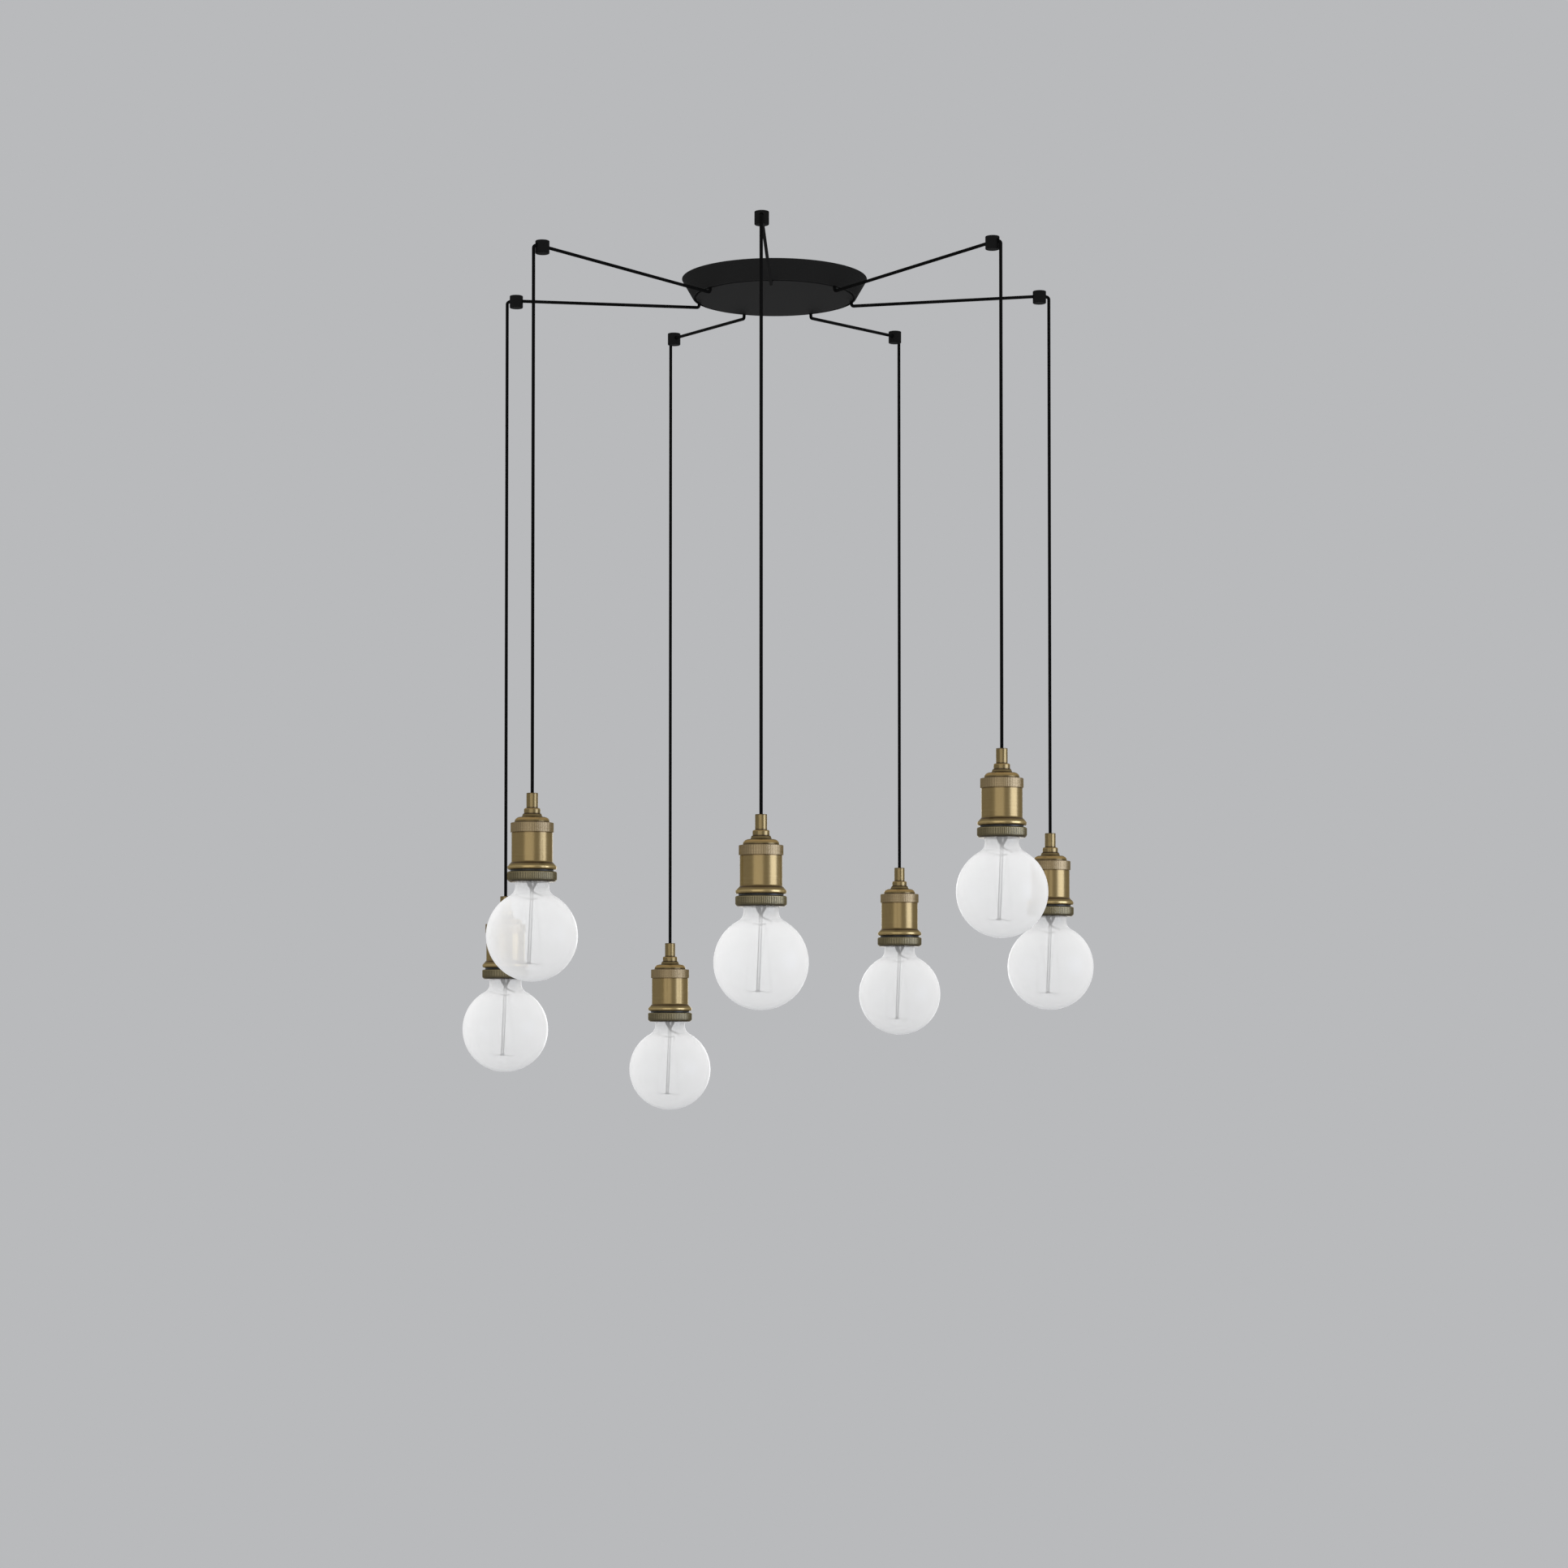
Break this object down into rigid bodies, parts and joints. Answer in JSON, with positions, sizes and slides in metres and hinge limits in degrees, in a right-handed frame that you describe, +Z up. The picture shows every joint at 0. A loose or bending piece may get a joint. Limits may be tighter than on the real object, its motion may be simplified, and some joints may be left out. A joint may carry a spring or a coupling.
{
  "type": "pendant ceiling light",
  "caption": "Ceiling light with a flat conical canopy, cords led over ceiling hooks and bare globe bulbs in brass screw holders.",
  "frame": {"origin": "centre of the canopy on the ceiling plane", "axes": "+Z up into the ceiling, -Y towards the viewer and hook 1, +X to the viewer's right"},
  "size_m": [0.701, 0.6858, 0.915],
  "materials": {
    "black_painted_steel": "matte black powder coat",
    "black_painted_hook": "matte black",
    "zinc_plated_steel": "zinc plated sheet",
    "magnet": "nickel plated magnet",
    "terminal_plastic": "moulded, satin",
    "terminal_brass": "turned",
    "lead_insulation": "smooth insulation",
    "black_nylon": "moulded, matte",
    "black_cord": "matte black jacket",
    "aged_brass": "brushed and aged",
    "dark_aged_brass": "knurled and aged",
    "dark_phenolic": "moulded phenolic",
    "clear_glass": "clear blown glass",
    "nickel_plated_brass": "plated"
  },
  "bodies": {
    "root": {"canopy_shell": "black_painted_steel", "canopy_cover": "black_painted_steel", "ceiling_bracket": "zinc_plated_steel", "cover_magnets": "magnet", "terminal_block": "terminal_plastic", "terminal_screws": "terminal_brass", "inner_leads": "lead_insulation", "cord_bushes": "black_nylon", "cord_runs": "black_cord", "hook_bases": "black_nylon", "hook_caps": "black_painted_hook"},
    "pendant_1": {"cord_drop_1": "black_cord", "holder_top_1": "aged_brass", "holder_sleeve_1": "aged_brass", "socket_insert_1": "dark_phenolic"},
    "ring_1": {"shade_ring_1": "dark_aged_brass"},
    "bulb_1": {"bulb_glass_1": "clear_glass", "bulb_base_1": "nickel_plated_brass"},
    "pendant_2": {"cord_drop_2": "black_cord", "holder_top_2": "aged_brass", "holder_sleeve_2": "aged_brass", "socket_insert_2": "dark_phenolic"},
    "ring_2": {"shade_ring_2": "dark_aged_brass"},
    "bulb_2": {"bulb_glass_2": "clear_glass", "bulb_base_2": "nickel_plated_brass"},
    "pendant_3": {"cord_drop_3": "black_cord", "holder_top_3": "aged_brass", "holder_sleeve_3": "aged_brass", "socket_insert_3": "dark_phenolic"},
    "ring_3": {"shade_ring_3": "dark_aged_brass"},
    "bulb_3": {"bulb_glass_3": "clear_glass", "bulb_base_3": "nickel_plated_brass"},
    "pendant_4": {"cord_drop_4": "black_cord", "holder_top_4": "aged_brass", "holder_sleeve_4": "aged_brass", "socket_insert_4": "dark_phenolic"},
    "ring_4": {"shade_ring_4": "dark_aged_brass"},
    "bulb_4": {"bulb_glass_4": "clear_glass", "bulb_base_4": "nickel_plated_brass"},
    "pendant_5": {"cord_drop_5": "black_cord", "holder_top_5": "aged_brass", "holder_sleeve_5": "aged_brass", "socket_insert_5": "dark_phenolic"},
    "ring_5": {"shade_ring_5": "dark_aged_brass"},
    "bulb_5": {"bulb_glass_5": "clear_glass", "bulb_base_5": "nickel_plated_brass"},
    "pendant_6": {"cord_drop_6": "black_cord", "holder_top_6": "aged_brass", "holder_sleeve_6": "aged_brass", "socket_insert_6": "dark_phenolic"},
    "ring_6": {"shade_ring_6": "dark_aged_brass"},
    "bulb_6": {"bulb_glass_6": "clear_glass", "bulb_base_6": "nickel_plated_brass"},
    "pendant_7": {"cord_drop_7": "black_cord", "holder_top_7": "aged_brass", "holder_sleeve_7": "aged_brass", "socket_insert_7": "dark_phenolic"},
    "ring_7": {"shade_ring_7": "dark_aged_brass"},
    "bulb_7": {"bulb_glass_7": "clear_glass", "bulb_base_7": "nickel_plated_brass"}
  },
  "joints": [
    {"name": "swing_1", "type": "hinge", "parent": "root", "child": "pendant_1", "pos_m": [0, -0.3108, -0.0094], "axis": [1, 0, 0], "range_deg": [-10, 10]},
    {"name": "ring_turn_1", "type": "hinge", "parent": "pendant_1", "child": "ring_1", "pos_m": [0, -0.3108, -0.6], "axis": [0, 0, 1], "range_deg": [0, 360]},
    {"name": "unscrew_1", "type": "slide", "parent": "pendant_1", "child": "bulb_1", "axis": [0, 0, -1], "range_m": [0, 0.028]},
    {"name": "swing_2", "type": "hinge", "parent": "root", "child": "pendant_2", "pos_m": [0.24299, -0.19378, -0.0094], "axis": [0.6235, 0.7818, 0], "range_deg": [-10, 10]},
    {"name": "ring_turn_2", "type": "hinge", "parent": "pendant_2", "child": "ring_2", "pos_m": [0.24299, -0.19378, -0.6], "axis": [0, 0, 1], "range_deg": [0, 360]},
    {"name": "unscrew_2", "type": "slide", "parent": "pendant_2", "child": "bulb_2", "axis": [0, 0, -1], "range_m": [0, 0.028]},
    {"name": "swing_3", "type": "hinge", "parent": "root", "child": "pendant_3", "pos_m": [0.30301, 0.06916, -0.0094], "axis": [-0.2225, 0.9749, 0], "range_deg": [-10, 10]},
    {"name": "ring_turn_3", "type": "hinge", "parent": "pendant_3", "child": "ring_3", "pos_m": [0.30301, 0.06916, -0.6], "axis": [0, 0, 1], "range_deg": [0, 360]},
    {"name": "unscrew_3", "type": "slide", "parent": "pendant_3", "child": "bulb_3", "axis": [0, 0, -1], "range_m": [0, 0.028]},
    {"name": "swing_4", "type": "hinge", "parent": "root", "child": "pendant_4", "pos_m": [0.13485, 0.28002, -0.0094], "axis": [-0.901, 0.4339, 0], "range_deg": [-10, 10]},
    {"name": "ring_turn_4", "type": "hinge", "parent": "pendant_4", "child": "ring_4", "pos_m": [0.13485, 0.28002, -0.6], "axis": [0, 0, 1], "range_deg": [0, 360]},
    {"name": "unscrew_4", "type": "slide", "parent": "pendant_4", "child": "bulb_4", "axis": [0, 0, -1], "range_m": [0, 0.028]},
    {"name": "swing_5", "type": "hinge", "parent": "root", "child": "pendant_5", "pos_m": [-0.13485, 0.28002, -0.0094], "axis": [-0.901, -0.4339, 0], "range_deg": [-10, 10]},
    {"name": "ring_turn_5", "type": "hinge", "parent": "pendant_5", "child": "ring_5", "pos_m": [-0.13485, 0.28002, -0.6], "axis": [0, 0, 1], "range_deg": [0, 360]},
    {"name": "unscrew_5", "type": "slide", "parent": "pendant_5", "child": "bulb_5", "axis": [0, 0, -1], "range_m": [0, 0.028]},
    {"name": "swing_6", "type": "hinge", "parent": "root", "child": "pendant_6", "pos_m": [-0.30301, 0.06916, -0.0094], "axis": [-0.2225, -0.9749, 0], "range_deg": [-10, 10]},
    {"name": "ring_turn_6", "type": "hinge", "parent": "pendant_6", "child": "ring_6", "pos_m": [-0.30301, 0.06916, -0.6], "axis": [0, 0, 1], "range_deg": [0, 360]},
    {"name": "unscrew_6", "type": "slide", "parent": "pendant_6", "child": "bulb_6", "axis": [0, 0, -1], "range_m": [0, 0.028]},
    {"name": "swing_7", "type": "hinge", "parent": "root", "child": "pendant_7", "pos_m": [-0.24299, -0.19378, -0.0094], "axis": [0.6235, -0.7818, 0], "range_deg": [-10, 10]},
    {"name": "ring_turn_7", "type": "hinge", "parent": "pendant_7", "child": "ring_7", "pos_m": [-0.24299, -0.19378, -0.6], "axis": [0, 0, 1], "range_deg": [0, 360]},
    {"name": "unscrew_7", "type": "slide", "parent": "pendant_7", "child": "bulb_7", "axis": [0, 0, -1], "range_m": [0, 0.028]}
  ]
}
